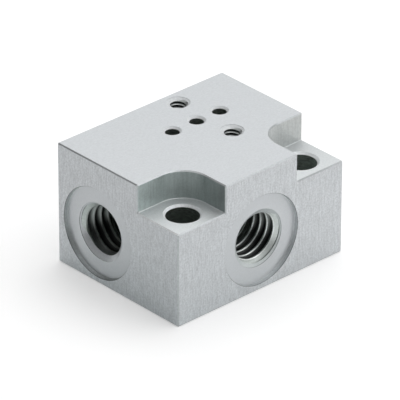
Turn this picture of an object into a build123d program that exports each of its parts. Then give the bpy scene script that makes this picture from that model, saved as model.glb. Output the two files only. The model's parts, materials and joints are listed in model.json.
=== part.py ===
"""Valve base plate for one small solenoid valve, machined from a single bar of aluminium.

The valve stands on the top face, held by two small screws, over a row of three air holes. Each hole
is joined inside the block to a threaded port of its own: one port in each end face and one in the
front face. The two front corners are milled down to a step, so that the heads of the screws that
fix the block to a machine stay below the valve.

X runs along the block, Y from its front to its back, Z up. The origin is the middle of the bottom face.
All sizes are in millimetres.
"""

import math
import os

from build123d import *

# Block
block_length = 18.8
block_width = 15.0
block_height = 11.4
edge_break = 0.1

# Milled steps in the two front corners
step_length = 5.3
step_width = 5.0
step_floor = 8.8
end_mill_radius = 2.5

# Holes through the steps, for the screws that fix the block
fixing_hole_radius = 1.45
fixing_hole_from_end = 2.7
fixing_hole_from_front = 2.4
fixing_hole_mouth_radius = 1.65

# Threaded ports, M5: the bore is the tap drill's, and the thread is cut into it
port_bore_radius = 2.1
port_bore_depth = 5.2
port_height = 4.73
port_spotface_radius = 4.17
port_spotface_depth = 0.4
port_mouth_radius = 2.67
end_port_from_front = 10.06

# Row of air holes under the valve
air_hole_radius = 0.625
air_hole_mouth_radius = 0.81
air_holes_from_left = (8.53, 11.3, 13.92)
air_row_from_front = 10.06

# Drillings that join two of the ports to their air holes
channel_radius = 0.6
front_channel_from_left = 10.8
channel_overshoot = 0.6

# Tapped holes for the valve's two screws, M1.7: again the tap drill's bore
screw_bore_radius = 0.675
screw_bore_depth = 4.0
screw_mouth_radius = 1.05
screws_from_left = 12.26
screws_from_front = (6.7, 13.42)

# Included angles of the tools: a drilled bore ends in the cone of its drill
port_countersink_angle = 110.0
screw_countersink_angle = 120.0
plain_countersink_angle = 90.0
drill_point_angle = 118.0
# How far a cutter stands out of the face that it enters
cutter_clearance = 1.0

left_end = -block_length / 2
right_end = block_length / 2
front_face = -block_width / 2


def cone_depth(radius, angle):
    """How far a cone of this included angle goes in from a circle of this radius to its point."""
    return radius / math.tan(math.radians(angle / 2))


def turned_cutter(half_section):
    """A cutter turned about Z, from its corners as (radius, height), with height 0 at the face it enters."""
    profile = Polyline([(radius, 0, height) for radius, height in half_section], close=True)
    return revolve(make_face(profile), Axis.Z)


def countersink(radius, mouth_radius, angle, face_height=0):
    """Corners of a countersink that narrows from its mouth, at face_height, to the bore's radius."""
    depth = cone_depth(mouth_radius - radius, angle)
    return [(mouth_radius, face_height), (radius, face_height - depth)]


def drill_cutter(radius, depth, mouth=()):
    """A drill's full bore of this depth with its cone, below the corners of a wider mouth if it has one."""
    point = cone_depth(radius, drill_point_angle)
    widest = max([radius, *(corner[0] for corner in mouth)])
    return turned_cutter([
        (0, cutter_clearance),
        (widest, cutter_clearance),
        *mouth,
        (radius, -depth),
        (0, -depth - point),
    ])


def port_cutter():
    """Spotface, countersink and tap drill of one threaded port, which all turn about the same axis."""
    spotface = [(port_spotface_radius, -port_spotface_depth)]
    lead_in = countersink(port_bore_radius, port_mouth_radius, port_countersink_angle, -port_spotface_depth)
    return drill_cutter(port_bore_radius, port_bore_depth, spotface + lead_in)


def blank():
    """The bar cut to length, with the two corner steps milled into it and its outer edges broken."""
    bar = Pos(0, 0, block_height / 2) * Box(block_length, block_width, block_height)
    step_depth = block_height - step_floor
    for side in (-1, 1):
        outline = Rectangle(2 * step_length, 2 * step_width)
        outline = fillet(outline.vertices(), end_mill_radius)
        corner = Pos(side * block_length / 2, front_face, step_floor)
        bar -= corner * extrude(outline, step_depth + cutter_clearance)
    return chamfer(outer_edges(bar), edge_break)


def outer_edges(bar):
    """Every edge of the milled bar apart from those in the hollow of a step."""
    def in_a_hollow(edge):
        middle = edge @ 0.5
        inside_length = abs(middle.X) < right_end - 1e-6
        inside_width = middle.Y > front_face + 1e-6
        below_top = middle.Z < block_height - 1e-6
        above_bottom = middle.Z > 1e-6
        return inside_length and inside_width and below_top and above_bottom

    return [edge for edge in bar.edges() if not in_a_hollow(edge)]


def fixing_holes():
    """Cutters for the two clearance holes, from the floor of the steps right through the block."""
    cutter = turned_cutter([
        (0, cutter_clearance),
        (fixing_hole_mouth_radius, cutter_clearance),
        *countersink(fixing_hole_radius, fixing_hole_mouth_radius, plain_countersink_angle),
        (fixing_hole_radius, edge_break - step_floor),
        (fixing_hole_radius + edge_break, -step_floor),
        (fixing_hole_radius + edge_break, -step_floor - cutter_clearance),
        (0, -step_floor - cutter_clearance),
    ])
    from_middle = block_length / 2 - fixing_hole_from_end
    row = front_face + fixing_hole_from_front
    return [Pos(side * from_middle, row, step_floor) * cutter for side in (-1, 1)]


def ports():
    """Cutters for the three threaded ports: left end, right end and front."""
    row = front_face + end_port_from_front
    faces = (
        Plane((left_end, row, port_height), z_dir=(-1, 0, 0)),
        Plane((right_end, row, port_height), z_dir=(1, 0, 0)),
        Plane((0, front_face, port_height), z_dir=(0, -1, 0)),
    )
    return [face * port_cutter() for face in faces]


def air_holes():
    """Cutters for the row of holes that the valve's seal closes on, down to the height of the ports."""
    mouth = countersink(air_hole_radius, air_hole_mouth_radius, plain_countersink_angle)
    cutter = drill_cutter(air_hole_radius, block_height - port_height, mouth)
    row = front_face + air_row_from_front
    return [Pos(left_end + x, row, block_height) * cutter for x in air_holes_from_left]


def channels():
    """Cutters for the drillings through the left and front ports, on to the first and second air holes."""
    left_mouth = Plane((left_end, front_face + end_port_from_front, port_height), z_dir=(-1, 0, 0))
    front_mouth = Plane((left_end + front_channel_from_left, front_face, port_height), z_dir=(0, -1, 0))
    left_length = air_holes_from_left[0] + channel_overshoot
    front_length = air_row_from_front + channel_overshoot
    return [
        left_mouth * drill_cutter(channel_radius, left_length),
        front_mouth * drill_cutter(channel_radius, front_length),
    ]


def screw_holes():
    """Cutters for the two tapped holes that hold the valve down."""
    mouth = countersink(screw_bore_radius, screw_mouth_radius, screw_countersink_angle)
    cutter = drill_cutter(screw_bore_radius, screw_bore_depth, mouth)
    return [Pos(left_end + screws_from_left, front_face + y, block_height) * cutter for y in screws_from_front]


def valve_base_plate():
    """The finished block: the blank with every hole drilled."""
    block = blank()
    for cutter in fixing_holes() + ports() + air_holes() + channels() + screw_holes():
        block -= cutter
    return block.solid()


os.makedirs("parts", exist_ok=True)
plate = valve_base_plate()
plate.label = "valve_base_plate"
export_step(plate, "parts/valve_base_plate.step")
print("volume", round(plate.volume, 1), "mm3; valid", plate.is_valid)
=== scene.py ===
"""Looks of a small machined aluminium valve base plate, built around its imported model.

The plate is one piece of metal. The sections follow the order in which it is made: the bar with its
milled corner steps, the plain holes, the threaded ports, the tapped screw holes and the air ways inside.
Last comes the studio that it is seen in. All lengths are in metres, in the frame of the model.
"""

import json
import math

import bmesh
import bpy
from mathutils import Matrix, Vector


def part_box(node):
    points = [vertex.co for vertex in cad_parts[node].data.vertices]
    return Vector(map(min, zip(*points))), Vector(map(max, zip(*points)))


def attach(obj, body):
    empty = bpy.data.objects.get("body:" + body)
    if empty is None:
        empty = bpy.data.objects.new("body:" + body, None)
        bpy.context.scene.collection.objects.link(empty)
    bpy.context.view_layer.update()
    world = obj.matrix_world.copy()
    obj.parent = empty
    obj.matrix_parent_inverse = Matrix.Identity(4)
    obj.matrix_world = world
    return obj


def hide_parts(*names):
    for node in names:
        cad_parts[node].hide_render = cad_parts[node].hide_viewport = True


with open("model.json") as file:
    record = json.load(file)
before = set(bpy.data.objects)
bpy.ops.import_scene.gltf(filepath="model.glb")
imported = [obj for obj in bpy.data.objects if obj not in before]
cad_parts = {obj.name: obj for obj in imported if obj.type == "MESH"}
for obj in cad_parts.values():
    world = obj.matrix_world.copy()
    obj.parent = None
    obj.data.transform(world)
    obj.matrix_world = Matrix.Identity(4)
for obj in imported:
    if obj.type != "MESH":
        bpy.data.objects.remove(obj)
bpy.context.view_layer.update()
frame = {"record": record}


# The bar
# A length of drawn aluminium bar, ground on its faces and etched satin. The two front corners are milled
# down to a step with an end mill, whose corner leaves a fine radius at the foot, and edges are broken.

mm = 0.001
(x_low, y_low, z_low), (x_high, y_high, z_high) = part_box("valve_base_plate")
step_floor = 8.8 * mm
step_length = 5.3 * mm
step_width = 5.0 * mm
end_mill_radius = 2.5 * mm
corner_segments = 32
edge_break = 0.1 * mm
foot_radius = 0.06 * mm
foot_segments = 3
sharp_bend = math.radians(30)
# Corners that lie closer together than this are joined
join_distance = 0.00001 * mm

aluminium = (0.613, 0.636, 0.653)
speckle_size = 0.16 * mm
# Most of a noise's values lie between these two
noise_low = 0.3
noise_high = 0.7
roughness_spread = 0.05
scratch_strength = 0.3
# How closely a metal's scratches lie along X, Y and Z, counted over a metre
fine_grain = (5000, 5000, 5000)


def calculate(tree, kind, operation, *terms):
    """One step of sums on a material's numbers (kind Math) or vectors (kind VectorMath)."""
    step = tree.nodes.new("ShaderNode" + kind)
    step.operation = operation
    entries = [entry for entry in step.inputs if entry.enabled]
    for entry, term in zip(entries, terms):
        if isinstance(term, bpy.types.NodeSocket):
            tree.links.new(term, entry)
        else:
            entry.default_value = term
    return next(result for result in step.outputs if result.enabled)


def graded(tree, value, start, end, at_start=0.0, at_end=1.0, curve="LINEAR"):
    """A level that goes from at_start to at_end while this value goes from start to end."""
    grading = tree.nodes.new("ShaderNodeMapRange")
    grading.interpolation_type = curve
    limits = {"From Min": start, "From Max": end, "To Min": at_start, "To Max": at_end}
    for name, limit in limits.items():
        grading.inputs[name].default_value = limit
    tree.links.new(value, grading.inputs["Value"])
    return grading.outputs["Result"]


def metal(name, colour, shine, roughness, grain, contrast=0.05, depth=0.001 * mm, speckle=0.05, rings=None):
    """Etched aluminium with fine scratches: contrast is how much they tint it, and speckle how much its
    fine spots do. Where rings says (axis letter, centre), there are the rings that a turning tool leaves
    about that axis instead, and their grain is a single number."""
    material = bpy.data.materials.new(name)
    material.use_nodes = True
    tree = material.node_tree
    shader = tree.nodes["Principled BSDF"]
    shader.inputs["Metallic"].default_value = shine
    place = tree.nodes.new("ShaderNodeTexCoord").outputs["Object"]
    if rings is None:
        stretch = tree.nodes.new("ShaderNodeMapping")
        stretch.inputs["Scale"].default_value = grain
        tree.links.new(place, stretch.inputs["Vector"])
        streak_place = stretch.outputs["Vector"]
        streaks = tree.nodes.new("ShaderNodeTexNoise")
        streaks.inputs["Scale"].default_value = 1.0
        streaks.inputs["Detail"].default_value = 2.0
    else:
        letter, centre = rings
        streak_place = calculate(tree, "VectorMath", "SUBTRACT", place, centre)
        streaks = tree.nodes.new("ShaderNodeTexWave")
        streaks.wave_type = "RINGS"
        streaks.rings_direction = letter
        streaks.inputs["Scale"].default_value = grain
        streaks.inputs["Distortion"].default_value = 2.0
        streaks.inputs["Detail"].default_value = 3.0
        streaks.inputs["Detail Scale"].default_value = 3.0
    tree.links.new(streak_place, streaks.inputs["Vector"])
    spots = tree.nodes.new("ShaderNodeTexNoise")
    spots.inputs["Scale"].default_value = 1.0 / speckle_size
    spots.inputs["Detail"].default_value = 1.0
    tree.links.new(place, spots.inputs["Vector"])
    tints = [
        graded(tree, pattern.outputs["Fac"], noise_low, noise_high, 1.0 - share, 1.0 + share)
        for pattern, share in ((streaks, contrast), (spots, speckle))
    ]
    shade = calculate(tree, "Math", "MULTIPLY", *tints)
    tree.links.new(calculate(tree, "VectorMath", "SCALE", colour, shade), shader.inputs["Base Color"])
    smoothest = roughness - roughness_spread
    roughest = roughness + roughness_spread
    satin = graded(tree, streaks.outputs["Fac"], 0.0, 1.0, smoothest, roughest)
    tree.links.new(satin, shader.inputs["Roughness"])
    scratches = tree.nodes.new("ShaderNodeBump")
    scratches.inputs["Strength"].default_value = scratch_strength
    scratches.inputs["Distance"].default_value = depth
    tree.links.new(streaks.outputs["Fac"], scratches.inputs["Height"])
    tree.links.new(scratches.outputs["Normal"], shader.inputs["Normal"])
    return material


def scale_colour(material, factor):
    """Multiplies a metal's colour by this output of one of its nodes."""
    tree = material.node_tree
    colour = tree.nodes["Principled BSDF"].inputs["Base Color"]
    scaled = calculate(tree, "VectorMath", "SCALE", colour.links[0].from_socket, factor)
    tree.links.new(scaled, colour)


def shade_towards(material, letter, end, plain, gain):
    """Makes a metal this many times as bright where its place along an axis is end. That fades out towards
    plain, and the metal stays as it was from there on."""
    tree = material.node_tree
    place = tree.nodes.new("ShaderNodeTexCoord").outputs["Object"]
    split = tree.nodes.new("ShaderNodeSeparateXYZ")
    tree.links.new(place, split.inputs["Vector"])
    scale_colour(material, graded(tree, split.outputs[letter], end, plain, gain, 1.0))


ground_sides = metal("ground_sides", aluminium, shine=0.55, roughness=0.45,
                     grain=(9000, 9000, 1300), contrast=0.10, depth=0.003 * mm, speckle=0.10)
ground_flats = metal("ground_flats", aluminium, shine=0.55, roughness=0.45,
                     grain=(3000, 6000, 6000), contrast=0.025, speckle=0.035)
# The end mill leaves upright streaks on the walls. The left step's walls are painted darker than the
# right step's, a painted shade
milled_wall = {
    "shine": 0.42, "roughness": 0.38, "grain": (6000, 6000, 500), "contrast": 0.08,
    "depth": 0.004 * mm, "speckle": 0.07,
}
left_milled_walls = metal("left_milled_walls", (0.41, 0.475, 0.465), **milled_wall)
right_milled_walls = metal("right_milled_walls", (0.56, 0.583, 0.575), **milled_wall)
milled_floors = metal("milled_floors", (0.562, 0.585, 0.592), shine=0.55, roughness=0.45,
                      grain=fine_grain, contrast=0.03, speckle=0.04)
# Painted light and shade: the left step's walls lighter towards the plate's end and darker towards its front,
# and the floors lighter towards the front, with painted shade near the back walls
shade_from_end = 3 * mm
shade_from_front = 4.5 * mm
shade_towards(left_milled_walls, "X", x_low, x_low + shade_from_end, gain=1.35)
shade_towards(left_milled_walls, "Y", y_low, y_low + shade_from_front, gain=0.66)
shade_towards(milled_floors, "Y", y_low, y_low + shade_from_front, gain=1.17)
# The broken edges are painted darker than the faces, a painted dark reflection, and the chamfers at the
# steps' ends much lighter, a painted highlight
broken_edges = metal("broken_edges", (0.49, 0.51, 0.52), shine=0.75, roughness=0.30, grain=fine_grain)
step_ends = metal("step_ends", (0.85, 0.87, 0.88), shine=0.3, roughness=0.45, grain=fine_grain)
step_feet = metal("step_feet", (0.60, 0.625, 0.63), shine=0.6, roughness=0.30, grain=fine_grain)
bar_metals = (
    ground_sides, ground_flats, left_milled_walls, right_milled_walls,
    milled_floors, broken_edges, step_ends, step_feet,
)
UPRIGHT, FLAT, LEFT_WALLS, RIGHT_WALLS, STEP_FLOOR, EDGE, STEP_END, FOOT = range(len(bar_metals))

bar = bmesh.new()
bar_corners = {}


def corner_step(side):
    """Points of one step's inner outline, seen from above: along X from the front, round the corner, and
    out to the end."""
    inner_x = side * (x_high - step_length)
    inner_y = y_low + step_width
    centre = Vector((inner_x + side * end_mill_radius, inner_y - end_mill_radius))
    points = [Vector((inner_x, y_low))]
    for k in range(corner_segments + 1):
        angle = math.pi / 2 * k / corner_segments
        points.append(centre + end_mill_radius * Vector((-side * math.cos(angle), math.sin(angle))))
    points.append(Vector((side * x_high, inner_y)))
    return points


def add_face(finish, *points):
    """One flat face of the bar, which shares corners with the faces already made."""
    corners = []
    for point in points:
        key = tuple(round(value / join_distance) for value in point)
        if key not in bar_corners:
            bar_corners[key] = bar.verts.new(point)
        corners.append(bar_corners[key])
    bar.faces.new(corners).material_index = finish


def level_face(finish, outline, height):
    """A level face whose outline is seen from above."""
    add_face(finish, *((*point, height) for point in outline))


def upright_faces(finish, line, low, high):
    """Upright faces along a line of points seen from above."""
    for start, end in zip(line, line[1:]):
        add_face(finish, (*start, low), (*end, low), (*end, high), (*start, high))


left_step = corner_step(-1)
right_step = corner_step(1)
step_back = y_low + step_width
stem_left = left_step[0].x
stem_right = right_step[0].x
back_line = ((x_low, y_high), (x_high, y_high))

level_face(FLAT, ((x_low, y_low), *back_line, (x_high, y_low)), z_low)
level_face(FLAT, (*left_step, *back_line, *reversed(right_step)), z_high)
for step, end_x, walls in ((left_step, x_low, LEFT_WALLS), (right_step, x_high, RIGHT_WALLS)):
    level_face(STEP_FLOOR, (*step, (end_x, y_low)), step_floor)
    upright_faces(walls, step, step_floor, z_high)
upright_faces(UPRIGHT, back_line, z_low, z_high)
for x in (x_low, x_high):
    add_face(UPRIGHT, (x, y_low, z_low), (x, y_high, z_low), (x, y_high, z_high),
             (x, step_back, z_high), (x, step_back, step_floor), (x, y_low, step_floor))
add_face(UPRIGHT, (x_low, y_low, z_low), (x_high, y_low, z_low), (x_high, y_low, step_floor),
         (stem_right, y_low, step_floor), (stem_right, y_low, z_high), (stem_left, y_low, z_high),
         (stem_left, y_low, step_floor), (x_low, y_low, step_floor))
bmesh.ops.recalc_face_normals(bar, faces=bar.faces)

outer_edges = [edge for edge in bar.edges if edge.calc_face_angle_signed() > sharp_bend]
bmesh.ops.bevel(bar, geom=outer_edges, offset=edge_break, segments=1, affect="EDGES", material=EDGE)
for face in bar.faces:
    middle = face.calc_center_median()
    at_step_end = abs(middle.z - step_floor) < edge_break and x_high - abs(middle.x) < edge_break
    if face.material_index == EDGE and at_step_end:
        face.material_index = STEP_END
feet = [edge for edge in bar.edges if edge.calc_face_angle_signed() < -sharp_bend]
bmesh.ops.bevel(bar, geom=feet, offset=foot_radius, segments=foot_segments, profile=0.5,
                affect="EDGES", material=FOOT)

plate_mesh = bpy.data.meshes.new("machined_plate")
bar.to_mesh(plate_mesh)
bar.free()
plate = bpy.data.objects.new("machined_plate", plate_mesh)
bpy.context.scene.collection.objects.link(plate)
for material in bar_metals:
    plate.data.materials.append(material)


# The plain holes
# Drilled straight down: two holes through the steps for the fixing screws, and the row of three air
# holes under the valve. Each mouth is lightly countersunk, and the bores are painted dark, a painted shade.

mounts = {mount["name"]: mount for mount in frame["record"]["mounts"]}
up = (0, 0, 1)
to_back = (0, 1, 0)
clearance = 0.5 * mm
hole_segments = 96
air_hole_segments = 64
drill_point_angle = math.radians(118)
plain_countersink_angle = math.radians(90)
fixing_mouth_radius = 1.65 * mm
air_mouth_radius = 0.81 * mm

bored = {"shine": 0.85, "roughness": 0.34, "grain": (2500, 2500, 7000), "contrast": 0.30, "depth": 0.004 * mm}
bored_metal = metal("bored_metal", (0.29, 0.325, 0.30), **bored)
bored_clean = metal("bored_clean", (0.43, 0.48, 0.45), **bored)
etched_grain = (4000, 4000, 4000)
etched_contrast = 0.04
countersunk = {"shine": 0.2, "roughness": 0.6, "grain": etched_grain, "contrast": etched_contrast}
countersunk_colour = (0.68, 0.70, 0.71)
countersunk_metal = metal("countersunk_metal", countersunk_colour, **countersunk)
fixing_mouth = metal("fixing_mouth", countersunk_colour, **countersunk)
hole_metals = (countersunk_metal, bored_metal)
COUNTERSUNK, BORED = range(len(hole_metals))


def cone_depth(radius, angle):
    """How far a cone of this included angle goes in from a circle of this radius to its point."""
    return radius / math.tan(angle / 2)


def facing(position, axis, noon):
    """A frame whose Z is a hole's axis, pointing out of its mouth, and whose X is its 12 o'clock."""
    axis = Vector(axis)
    noon = Vector(noon)
    turn = Matrix((noon, axis.cross(noon), axis)).transposed().to_4x4()
    return Matrix.Translation(position) @ turn


def cutter_object(mesh, place, materials):
    """The cutter as an object that only the cuts use."""
    bmesh.ops.recalc_face_normals(mesh, faces=mesh.faces)
    data = bpy.data.meshes.new("cutter")
    mesh.to_mesh(data)
    mesh.free()
    for material in materials:
        data.materials.append(material)
    cutter = bpy.data.objects.new("cutter", data)
    cutter.matrix_world = place
    bpy.context.scene.collection.objects.link(cutter)
    return cutter


def ring_points(radius, height, segments):
    """Points of a level circle about the Z axis."""
    angles = [2 * math.pi * k / segments for k in range(segments)]
    return [(radius * math.cos(angle), radius * math.sin(angle), height) for angle in angles]


def turned_cutter(half_section, finishes, place, materials, segments=hole_segments):
    """A closed cutter turned about its Z axis, from corners (radius, height) that start and end on the axis.
    finishes gives the material's number for each stretch between two corners."""
    mesh = bmesh.new()
    rings = [
        [mesh.verts.new(point) for point in ring_points(radius, height, segments)]
        for radius, height in half_section[1:-1]
    ]
    ends = [mesh.verts.new((0, 0, half_section[i][1])) for i in (0, -1)]
    for k in range(segments):
        after = (k + 1) % segments
        mesh.faces.new((ends[0], rings[0][k], rings[0][after])).material_index = finishes[0]
        for finish, upper, lower in zip(finishes[1:], rings, rings[1:]):
            mesh.faces.new((upper[k], lower[k], lower[after], upper[after])).material_index = finish
        mesh.faces.new((ends[1], rings[-1][after], rings[-1][k])).material_index = finishes[-1]
    return cutter_object(mesh, place, materials)


def cut(cutter):
    """Takes the cutter's shape out of the plate, joins corners that fall together, and throws the cutter
    away."""
    bpy.context.view_layer.update()
    modifier = plate.modifiers.new("cut", "BOOLEAN")
    modifier.operation = "DIFFERENCE"
    modifier.solver = "EXACT"
    modifier.material_mode = "TRANSFER"
    modifier.object = cutter
    shaped = bpy.data.meshes.new_from_object(plate.evaluated_get(bpy.context.evaluated_depsgraph_get()))
    plate.modifiers.remove(modifier)
    joined = bmesh.new()
    joined.from_mesh(shaped)
    bmesh.ops.remove_doubles(joined, verts=joined.verts, dist=join_distance)
    bmesh.ops.dissolve_degenerate(joined, edges=joined.edges, dist=join_distance)
    joined.to_mesh(shaped)
    joined.free()
    plate.data = shaped
    bpy.data.objects.remove(cutter)


def drilled(radius, depth, mouth=()):
    """Corners of a drill's bore and cone, below the corners of its wider mouth if it has one."""
    widest = max([radius, *(corner[0] for corner in mouth)])
    point = (0, -depth - cone_depth(radius, drill_point_angle))
    return [(0, clearance), (widest, clearance), *mouth, (radius, -depth), point]


def countersink(radius, mouth_radius, angle, height=0.0, lip=0.0):
    """Corners of a countersink that narrows from its mouth, at this height, to the bore's radius. Its rim is
    a straight wall as deep as the lip."""
    bottom = height - cone_depth(mouth_radius - radius, angle)
    rim = [(mouth_radius, height), (mouth_radius, height - lip)] if lip else [(mouth_radius, height)]
    return [*rim, (radius, bottom)]


fixing = mounts["fixing_screws"]
fixing_y = fixing["pos_m"][1]
fixing_radius = fixing["dims"]["hole_r_mm"] * mm
fixing_spacing = fixing["dims"]["spacing_x_mm"] * mm
# The back of a fixing hole's mouth is painted brighter, a painted highlight
bright_back = 0.5 * mm
shade_towards(fixing_mouth, "Y", fixing_y + fixing_mouth_radius, fixing_y + bright_back, gain=1.35)
underside = z_low - step_floor
# The right fixing hole's bore is painted lighter than the left's, a painted light
for side, bore_metal in ((-1, bored_metal), (1, bored_clean)):
    place = facing((side * fixing_spacing / 2, fixing_y, step_floor), up, to_back)
    half_section = (
        (0, clearance), (fixing_mouth_radius, clearance),
        *countersink(fixing_radius, fixing_mouth_radius, plain_countersink_angle),
        (fixing_radius, underside + edge_break), (fixing_radius + edge_break, underside),
        (fixing_radius + edge_break, underside - clearance), (0, underside - clearance),
    )
    finishes = (BORED, BORED, COUNTERSUNK, BORED, COUNTERSUNK, BORED, BORED)
    cut(turned_cutter(half_section, finishes, place, (fixing_mouth, bore_metal)))

# The air holes go down to the height of the ports
port_height = mounts["front_port"]["pos_m"][2]
for name in ("air_hole_left", "air_hole_middle", "air_hole_right"):
    x, y, _ = mounts[name]["pos_m"]
    radius = mounts[name]["dims"]["r_mm"] * mm
    mouth = countersink(radius, air_mouth_radius, plain_countersink_angle)
    finishes = (BORED, BORED, COUNTERSUNK, BORED, BORED)
    cut(turned_cutter(drilled(radius, z_high - port_height, mouth), finishes,
                      facing((x, y, z_high), up, to_back), hole_metals, air_hole_segments))


# The threaded ports
# Each port is spotfaced for a fitting's seal ring, countersunk, drilled and tapped M5. The thread breaks
# out of the countersink on one side, and fades out over its last two turns, where the tap stopped.

port_depth = 5.2 * mm
spotface_radius = 4.17 * mm
spotface_depth = 0.4 * mm
port_mouth_radius = 2.67 * mm
port_countersink_angle = math.radians(110)
port_thread_pitch = 0.8 * mm
port_thread_radius = 2.55 * mm
port_thread_depth = 4.3 * mm
breakout_depth = 0.07 * mm
# The rims of the spotface and of the countersink are lightly broken
spotface_break = 0.04 * mm
port_lip = 0.04 * mm
# The tap trims the crests a little wider than its drill, and softens this share of them along each edge
crest_trim = 0.07 * mm
crest_softness = 0.3
thread_flank = math.radians(30)
fade_turns = 2
# A cutter needs a few turns more than its thread has, to reach past both of its ends
spare_turns = 3
turn_segments = 96
foot_steps = 4
# How bright a flank is painted, from the crest, at 0, to the bottom of the groove, at 1: a painted
# highlight behind the crest and a painted shade deeper in the groove
flank_shades = ((0.0, 0.95), (0.15, 0.8), (0.4, 0.5), (0.7, 0.2), (1.0, 0.08))

ring_grain = 4000.0
ring_contrast = 0.02
thread_grain = (3000, 3000, 3000)
# The lands, the groove bottoms and the flanks facing away from the mouth are painted dark, a painted shade
dark_flank = (0.25, 0.29, 0.27)
# The broken rims are painted dark, a painted line of shade, and the crests light, a painted highlight
lip_line = metal("lip_line", (0.20, 0.215, 0.215), shine=0.7, roughness=0.35, grain=fine_grain)
crest_line = metal("crest_line", (0.88, 0.92, 0.90), shine=0.6, roughness=0.35, grain=thread_grain)
# The end ports' crests, painted darker low in the hole, a painted shade
oily_crest = metal("oily_crest", (0.58, 0.62, 0.60), shine=0.6, roughness=0.35, grain=thread_grain)
TURNED, LIP, SPOT_WALL, CONE = range(4)
FLANK, GROOVE, CREST = range(3)

# Looks of the ports in the ends and of the one in the front, whose colours differ by painted light. Low
# down, the spotface's wall is painted darker and the cone lighter, a painted shade and a painted light,
# between two levels in their radii below the axis. The thread is painted darker between two depths, a
# painted shade. A painted shade lies low in it and thins out between two levels, in the radius of the
# crests, and the third number says how bright the shaded metal stays.
end_look = {
    "wall": (0.60, 0.635, 0.635), "dull_wall": (0.65, 0.05), "cone": aluminium, "cone_gain": 1.4,
    "flank": (0.74, 0.80, 0.77), "first_turn": (0.8 * mm, 1.5 * mm), "first_level": 0.75,
    "oil": (-0.5, 0.4, 0.08), "crest": oily_crest,
}
front_look = {
    "wall": (0.64, 0.67, 0.68), "dull_wall": (1.0, 0.3), "cone": (0.565, 0.605, 0.605), "cone_gain": 1.0,
    "flank": (0.72, 0.77, 0.75), "first_turn": (0.9 * mm, 1.5 * mm), "first_level": 0.95,
    "oil": (-0.6, 0.9, 0.16), "crest": crest_line,
}
wall_shade_gain = 0.77
bright_cone = (0.9, 0.55)
# The clock angle, seen from outside, at which the groove breaks out just below the spotface
ports = (
    ("left_port", 262, end_look),
    ("right_port", 262, end_look),
    ("front_port", 58, front_look),
)


def threaded_cutter(bore, crest, pitch, thread_depth, depth, place, materials, breakout):
    """A closed screw-shaped cutter: bore is the tap drill's radius, crest the radius of the groove's bottom.
    breakout is the (clock angle, height) of one point of the groove's middle."""
    root_flat = pitch / 8
    flank_run = (crest - bore) * math.tan(thread_flank)
    land = pitch - root_flat - 2 * flank_run
    soft = crest_softness * land
    section = [
        (bore + soft, 0.0), (bore, soft), (bore, land - soft), (bore + soft, land),
        (crest, land + flank_run), (crest, land + flank_run + root_flat),
    ]
    finishes = (GROOVE, GROOVE, CREST, FLANK, GROOVE, GROOVE)
    middle = land + flank_run + root_flat / 2
    clock, height = breakout
    turns = math.ceil(thread_depth / pitch) + spare_turns
    rows = [(radius, (turn + height / pitch) * pitch) for turn in range(turns) for radius, height in section]
    lowest = -thread_depth - pitch + (height + pitch * clock / 360 - middle + thread_depth) % pitch
    fade = fade_turns * pitch
    mesh = bmesh.new()

    def vertex(column, row):
        radius, height = rows[row]
        angle = 2 * math.pi * column / turn_segments
        z = lowest + height + pitch * column / turn_segments
        limit = bore + (crest - bore) * min(1.0, max(0.0, (z + thread_depth) / fade))
        radius = min(radius, limit)
        return mesh.verts.new((radius * math.cos(angle), radius * math.sin(angle), z))

    grid = [[vertex(column, row) for row in range(len(rows))] for column in range(turn_segments)]
    # The last column meets the first one a turn further out
    shift = len(section)
    for column in range(turn_segments):
        last = column == turn_segments - 1
        here = grid[column]
        there = grid[0][shift:] if last else grid[column + 1]
        for row in range(min(len(here), len(there)) - 1):
            face = mesh.faces.new((here[row], there[row], there[row + 1], here[row + 1]))
            face.material_index = finishes[row % shift]
    top = mesh.verts.new((0, 0, max(vert.co.z for vert in grid[-1]) + clearance))
    rim = [column[-1] for column in grid] + list(reversed(grid[-1][-1 - shift:-1]))
    for first, second in zip(rim, rim[1:] + rim[:1]):
        mesh.faces.new((top, first, second))
    floor_ring = [mesh.verts.new(point) for point in ring_points(bore, -depth, turn_segments)]
    for column in range(turn_segments - 1):
        mesh.faces.new((grid[column][0], floor_ring[column], floor_ring[column + 1], grid[column + 1][0]))
    mesh.faces.new((grid[-1][0], floor_ring[-1], floor_ring[0], *grid[0][:shift + 1]))
    point = mesh.verts.new((0, 0, -depth - cone_depth(bore, drill_point_angle)))
    for first, second in zip(floor_ring, floor_ring[1:] + floor_ring[:1]):
        mesh.faces.new((point, second, first))
    return cutter_object(mesh, place, materials)


def foot_curve(radius, floor):
    """Corners of the rounded foot between a spotface's wall and its floor."""
    points = []
    for k in range(foot_steps + 1):
        angle = math.pi / 2 * k / foot_steps
        inwards = foot_radius * (1 - math.cos(angle))
        upwards = foot_radius * (1 - math.sin(angle))
        points.append((radius - inwards, floor + upwards))
    return points


def shade_low(material, height, radius, levels, gain):
    """Shades metal towards the first of two levels, which are given in radii below this height."""
    shaded, plain = levels
    shade_towards(material, "Z", height - shaded * radius, height - plain * radius, gain)


def colour_ramp(tree, value, tones):
    """A ramp through these tones, each with its place from 0 to 1."""
    ramp = tree.nodes.new("ShaderNodeValToRGB")
    tree.links.new(value, ramp.inputs["Fac"])
    elements = ramp.color_ramp.elements
    elements.remove(elements[1])
    for at, tone in tones:
        element = elements[0] if at == tones[0][0] else elements.new(at)
        element.position = at
        element.color = (*tone, 1)
    return ramp


def scale_thread(material, share, at_mouth, deeper):
    """Multiplies a thread's colour by at_mouth in the first turn, and by deeper where it is further in."""
    tree = material.node_tree
    mix = tree.nodes.new("ShaderNodeMix")
    mix.inputs["A"].default_value = at_mouth
    tree.links.new(share, mix.inputs["Factor"])
    tree.links.new(deeper, mix.inputs["B"])
    scale_colour(material, mix.outputs["Result"])


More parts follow.
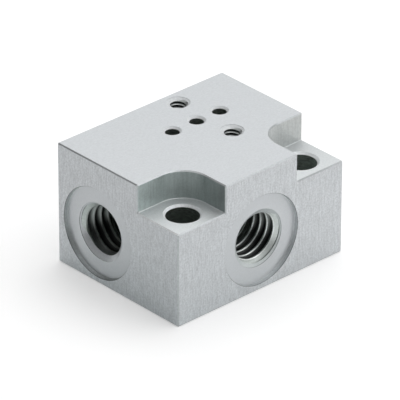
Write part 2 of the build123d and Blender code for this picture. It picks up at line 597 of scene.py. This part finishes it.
def thread_metal(name, letter, centre, bore, crest, colour, first_turn, first_level, oil=None):
    """Metal of a thread's flanks, painted bright just behind the crest and dark towards the bottom of the
    groove, a painted highlight and a painted shade, but at first_level all over in the first turn, which
    ends between two depths. letter is the hole's axis, and centre the middle of its mouth."""
    material = metal(name, colour, shine=0.7, roughness=0.38, grain=thread_grain)
    tree = material.node_tree
    place = tree.nodes.new("ShaderNodeTexCoord").outputs["Object"]
    offset = calculate(tree, "VectorMath", "SUBTRACT", place, centre)
    along = Vector([float(letter == other) for other in "XYZ"])
    across = Vector((1, 1, 1)) - along
    shares = []
    for mask, start, end in ((across, bore, crest), (along, *first_turn)):
        part = calculate(tree, "VectorMath", "MULTIPLY", offset, mask)
        length = calculate(tree, "VectorMath", "LENGTH", part)
        shares.append(graded(tree, length, start, end))
    into_groove, down_hole = shares
    groove_shade = colour_ramp(tree, into_groove, [(at, (shade,) * 3) for at, shade in flank_shades])
    groove_shade.color_ramp.interpolation = "EASE"
    scale_thread(material, down_hole, first_level, groove_shade.outputs["Color"])
    # Painted shade low in the hole, thinning out upwards, past the first turn
    if oil:
        heights = tree.nodes.new("ShaderNodeSeparateXYZ")
        tree.links.new(offset, heights.inputs["Vector"])
        low, high, shaded_level = oil
        low_shade_factor = graded(tree, heights.outputs["Z"], low * bore, high * bore, shaded_level, curve="SMOOTHSTEP")
        scale_thread(material, down_hole, 1.0, low_shade_factor)
    return material


# Painted shade low on the end ports' crests
shade_low(oily_crest, port_height, port_mouth_radius, (0.4, -0.6), gain=0.25)
for name, clock_angle, look in ports:
    mount = mounts[name]
    axis = Vector(mount["axis"])
    letter = "X" if abs(axis.x) > abs(axis.y) else "Y"
    centre = Vector(mount["pos_m"])
    reach = abs(axis.dot(Vector((x_high, y_high, 0))))
    mouth_point = centre + axis * (reach - centre.dot(axis))
    place = facing(mouth_point, axis, up)
    crest = mount["dims"]["r_mm"] * mm + crest_trim

    rings = {"grain": ring_grain, "contrast": ring_contrast, "rings": (letter, centre)}
    turned = metal(f"turned_{name}", aluminium, shine=0.55, roughness=0.42, speckle=0.02, **rings)
    spot_wall = metal(f"spotface_wall_{name}", look["wall"], shine=0.6, roughness=0.42,
                      grain=etched_grain, contrast=etched_contrast)
    # Painted shade low on the spotface's wall and painted light low on the cone
    shade_low(spot_wall, centre.z, spotface_radius, look["dull_wall"], wall_shade_gain)
    cone = metal(f"cone_{name}", look["cone"], shine=0.55, roughness=0.42, speckle=0.04, **rings)
    shade_low(cone, centre.z, port_mouth_radius, bright_cone, look["cone_gain"])
    lead_in = countersink(crest, port_mouth_radius, port_countersink_angle, -spotface_depth, port_lip)
    half_section = (
        (0, clearance), (spotface_radius + spotface_break, clearance), (spotface_radius + spotface_break, 0),
        (spotface_radius, -spotface_break), *foot_curve(spotface_radius, -spotface_depth),
        *lead_in, (0, lead_in[-1][1]),
    )
    walls = (SPOT_WALL,) * (1 + foot_steps)
    finishes = (TURNED, TURNED, LIP, *walls, TURNED, LIP, CONE, TURNED)
    cut(turned_cutter(half_section, finishes, place, (turned, lip_line, spot_wall, cone), turn_segments))

    thread = (letter, mouth_point, crest, port_thread_radius)
    bright = thread_metal(f"thread_{name}", *thread, look["flank"], look["first_turn"],
                          look["first_level"], look["oil"])
    dark = thread_metal(f"thread_dark_{name}", *thread, dark_flank, look["first_turn"], first_level=1.0)
    cut(threaded_cutter(crest, port_thread_radius, port_thread_pitch, port_thread_depth, port_depth, place,
                        (bright, dark, look["crest"]), (clock_angle, -spotface_depth - breakout_depth)))


# The tapped screw holes
# Two blind holes tapped M1.7 hold the valve down. They are countersunk wide, so that the thread's
# first turn doesn't lift the face that the valve's seal lies on.

screw_depth = 4.0 * mm
screw_mouth_radius = 1.05 * mm
screw_countersink_angle = math.radians(120)
screw_lip = 0.025 * mm
screw_thread_pitch = 0.35 * mm
screw_thread_radius = 0.85 * mm
screw_thread_depth = 3.4 * mm
screw_first_turn = (0.2 * mm, 0.45 * mm)
# The flank metal and a much darker copy for the lands and groove bottoms, a painted shade
screw_flank = (0.62, 0.65, 0.65)
screw_dark_flank = (0.12, 0.135, 0.125)
# The groove's clock angle is counted from the direction of the plate's back right corner
screw_clock_angle = 315
screw_breakout_depth = 0.03 * mm
corner_azimuth = 42.7


def heading(azimuth, elevation=0.0):
    """A direction from the plate, in degrees. Azimuth 0 is behind the plate and 90 to its right."""
    a = math.radians(azimuth)
    e = math.radians(elevation)
    return Vector((math.sin(a) * math.cos(e), math.cos(a) * math.cos(e), math.sin(e)))


screw_cone = metal("screw_cone", (0.60, 0.62, 0.63), shine=0.15, roughness=0.6,
                   grain=etched_grain, contrast=etched_contrast)
screws = mounts["valve_screws"]
screw_bore = screws["dims"]["hole_r_mm"] * mm
screw_spacing = screws["dims"]["spacing_y_mm"] * mm
for side in (-1, 1):
    x, y, _ = screws["pos_m"]
    place = facing((x, y + side * screw_spacing / 2, z_high), up, heading(corner_azimuth))
    lead_in = countersink(screw_bore, screw_mouth_radius, screw_countersink_angle, lip=screw_lip)
    half_section = ((0, clearance), (screw_mouth_radius, clearance), *lead_in, (0, lead_in[-1][1]))
    finishes = (BORED, BORED, COUNTERSUNK, COUNTERSUNK, BORED)
    cut(turned_cutter(half_section, finishes, place, (screw_cone, bored_metal)))

    thread = ("Z", place.translation, screw_bore, screw_thread_radius)
    bright = thread_metal(f"screw_thread_{side}", *thread, screw_flank, screw_first_turn, first_level=0.6)
    dark = thread_metal(f"screw_dark_{side}", *thread, screw_dark_flank, screw_first_turn, first_level=4.3)
    cut(threaded_cutter(screw_bore, screw_thread_radius, screw_thread_pitch, screw_thread_depth, screw_depth,
                        place, (bright, dark, bright), (screw_clock_angle, -screw_breakout_depth)))


# The air ways inside
# Long drillings through the left and front ports meet the first two air holes. The right port's own
# bore meets the third. They are the last cuts, and the finished plate is smoothed after them.

channel_radius = 0.6 * mm
channel_overshoot = 0.6 * mm
channel_segments = 48
front_channel_from_left = 10.8 * mm
sharp_angle = math.radians(35)

air_x, air_y, _ = mounts["air_hole_left"]["pos_m"]
air_ways = (
    ((x_low, air_y, port_height), (-1, 0, 0), air_x - x_low),
    ((x_low + front_channel_from_left, y_low, port_height), (0, -1, 0), air_y - y_low),
)
for mouth_point, axis, length in air_ways:
    cut(turned_cutter(drilled(channel_radius, length + channel_overshoot), (BORED, BORED, BORED),
                      facing(mouth_point, axis, up), hole_metals, channel_segments))

plate.data.polygons.foreach_set("use_smooth", [True] * len(plate.data.polygons))
plate.data.set_sharp_from_angle(angle=sharp_angle)
even_faces = plate.modifiers.new("even_faces", "WEIGHTED_NORMAL")
even_faces.keep_sharp = True
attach(plate, "root")
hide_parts("valve_base_plate")


# The studio
# A white paper table under three softboxes: a wide one overhead, one at the front right and one behind to
# the right. In the metal, the backdrop glows low down at the front right and darkens upwards.

scene = bpy.context.scene
view_azimuth = 222.684
view_elevation = 29.258
view_roll = 0.12
view_distance = 414.4 * mm
view_aim = Vector((-0.03, 0.03, 5.443)) * mm
to_right = heading(view_azimuth - 90)
paper_half_width = 1.0
paper_white = (0.75, 0.75, 0.75, 1)
# The paper's glow as metal sees it, by how far to the plate's right it lies in the photograph: brightest to
# the plate's two sides, and darker and cooler close to it
paper_tones = (
    (-20 * mm, (0.292, 0.292, 0.292)), (-15 * mm, (0.250, 0.273, 0.273)), (-10 * mm, (0.199, 0.228, 0.228)),
    (-5 * mm, (0.167, 0.196, 0.196)), (2 * mm, (0.165, 0.185, 0.184)), (6 * mm, (0.180, 0.193, 0.193)),
    (10 * mm, (0.219, 0.227, 0.227)), (20 * mm, (0.292, 0.292, 0.292)),
)
paper_reach = 25 * mm
# To the camera, the paper glows a little near the plate, and is white from well away from it on
near_glow = 0.325
far_glow = 1.0
near_distance = 45 * mm
far_distance = 120 * mm
# How the backdrop glows, by its height above the horizon and by how far to the right it is
horizon_glow = 1.31
glow_heights = (0.05, 0.8)
glow_right = (0.2, 0.9)

paper = bpy.data.materials.new("white_paper")
paper.use_nodes = True
tree = paper.node_tree
paper_shader = tree.nodes["Principled BSDF"]
paper_shader.inputs["Base Color"].default_value = paper_white
paper_shader.inputs["Roughness"].default_value = 0.9
paper_shader.inputs["Specular IOR Level"].default_value = 0.0
paper_shader.inputs["Emission Strength"].default_value = 1.0
place = tree.nodes.new("ShaderNodeTexCoord").outputs["Object"]
rightness = calculate(tree, "VectorMath", "DOT_PRODUCT", place, to_right)
tones = colour_ramp(tree, graded(tree, rightness, -paper_reach, paper_reach),
                    [(0.5 + to_side / (2 * paper_reach), tone) for to_side, tone in paper_tones])
rays = tree.nodes.new("ShaderNodeLightPath")
distance = calculate(tree, "VectorMath", "LENGTH", place)
whiteness = graded(tree, distance, near_distance, far_distance, near_glow, far_glow)
seen = calculate(tree, "Math", "MULTIPLY", rays.outputs["Is Camera Ray"], whiteness)
glow = calculate(tree, "VectorMath", "MULTIPLY_ADD",
                 tones.outputs["Color"], rays.outputs["Is Glossy Ray"], seen)
tree.links.new(glow, paper_shader.inputs["Emission Color"])

table_corners = [
    (x * paper_half_width, y * paper_half_width, z_low)
    for x, y in ((-1, -1), (1, -1), (1, 1), (-1, 1))
]
table_mesh = bpy.data.meshes.new("table")
table_mesh.from_pydata(table_corners, [], [(0, 1, 2, 3)])
table = bpy.data.objects.new("table", table_mesh)
table.data.materials.append(paper)
scene.collection.objects.link(table)

world = bpy.data.worlds.new("studio")
scene.world = world
world.use_nodes = True
tree = world.node_tree
backdrop = tree.nodes["Background"]
backdrop.inputs["Color"].default_value = (1, 1, 1, 1)
direction = tree.nodes.new("ShaderNodeTexCoord").outputs["Generated"]
split = tree.nodes.new("ShaderNodeSeparateXYZ")
tree.links.new(direction, split.inputs["Vector"])
rightness = calculate(tree, "VectorMath", "DOT_PRODUCT", direction, to_right)
by_height = graded(tree, split.outputs["Z"], *glow_heights, horizon_glow, 0.0, curve="SMOOTHSTEP")
by_side = graded(tree, rightness, *glow_right, curve="SMOOTHSTEP")
glow = calculate(tree, "Math", "MULTIPLY", by_height, by_side)
# The camera sees the backdrop white
rays = tree.nodes.new("ShaderNodeLightPath")
shown = calculate(tree, "Math", "MAXIMUM", glow, rays.outputs["Is Camera Ray"])
tree.links.new(shown, backdrop.inputs["Strength"])


def softbox(name, azimuth, elevation, size, radiance, distance=400 * mm):
    """A square softbox that faces the plate."""
    towards = heading(azimuth, elevation)
    lamp = bpy.data.lights.new(name, "AREA")
    lamp.size = size
    lamp.energy = radiance * math.pi * size ** 2
    lamp_object = bpy.data.objects.new(name, lamp)
    lamp_object.location = towards * distance
    lamp_object.rotation_mode = "QUATERNION"
    lamp_object.rotation_quaternion = towards.to_track_quat("Z", "Y")
    scene.collection.objects.link(lamp_object)


softbox("top_softbox", azimuth=0, elevation=90, size=800 * mm, radiance=0.925)
softbox("front_softbox", azimuth=132, elevation=65, size=400 * mm, radiance=1.03)
softbox("back_softbox", azimuth=45, elevation=50, size=400 * mm, radiance=0.96)

camera = bpy.data.cameras.new("camera")
camera.sensor_width = 36.0
camera.lens = 442.35
camera_object = bpy.data.objects.new("camera", camera)
scene.collection.objects.link(camera_object)
to_camera = heading(view_azimuth, view_elevation)
camera_object.location = view_aim + to_camera * view_distance
level_turn = (-to_camera).to_track_quat("-Z", "Y").to_matrix().to_4x4()
roll = Matrix.Rotation(math.radians(view_roll), 4, "Z")
camera_object.rotation_mode = "QUATERNION"
camera_object.rotation_quaternion = (level_turn @ roll).to_quaternion()
scene.camera = camera_object
scene.view_settings.view_transform = "Standard"
